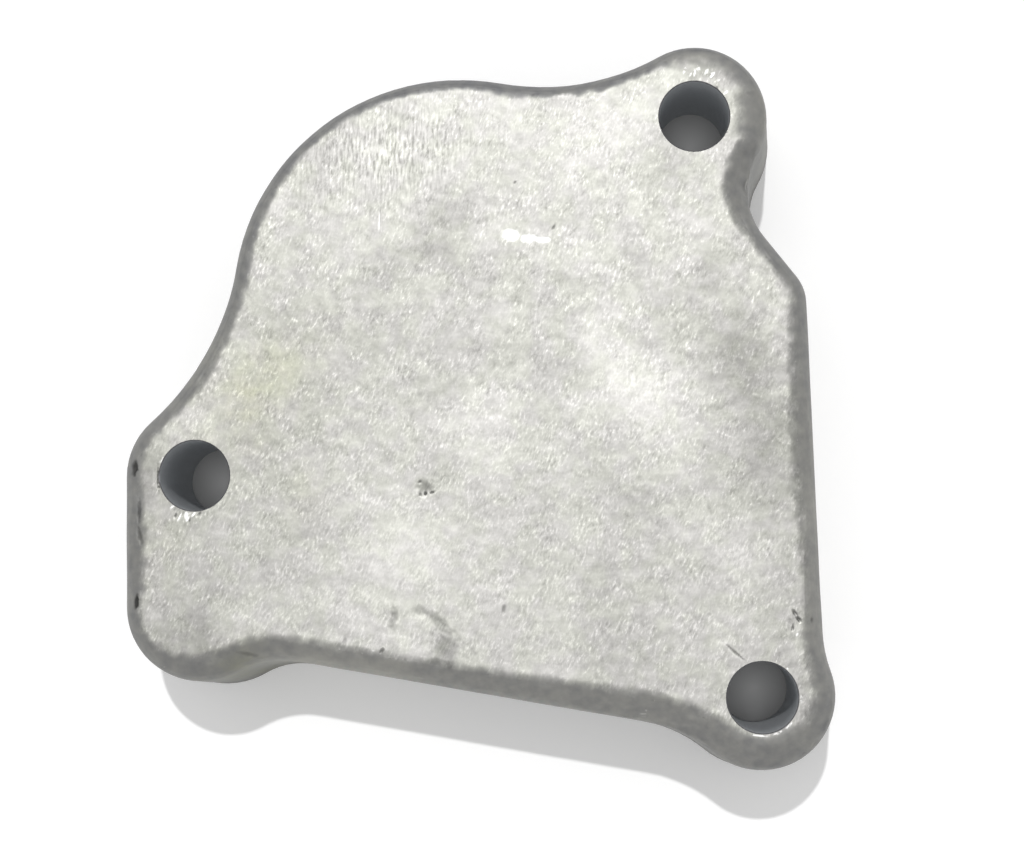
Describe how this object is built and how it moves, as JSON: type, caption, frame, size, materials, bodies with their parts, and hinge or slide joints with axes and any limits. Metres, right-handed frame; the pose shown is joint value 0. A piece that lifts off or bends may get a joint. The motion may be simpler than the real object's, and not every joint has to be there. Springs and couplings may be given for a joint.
{
  "type": "timing cover",
  "caption": "Shallow cast aluminium cover with a bulging lobe, bolted through bosses at its corners and hollow behind its ground outer face.",
  "frame": {"origin": "axis of bolt hole A, the hole on the ear at the top right of the outer face, at the sealing face", "axes": "+Z out of the outer face, -X from bolt hole A towards the side with bolt hole B, +Y along the straight side below bolt hole B, from the plain corner towards that hole"},
  "size_m": [0.0685, 0.0701, 0.018],
  "materials": {
    "cast_aluminium": "as-cast and tumbled, with the outer face ground flat and the sealing face machined"
  },
  "bodies": {
    "root": {"timing_cover": "cast_aluminium"}
  },
  "joints": []
}
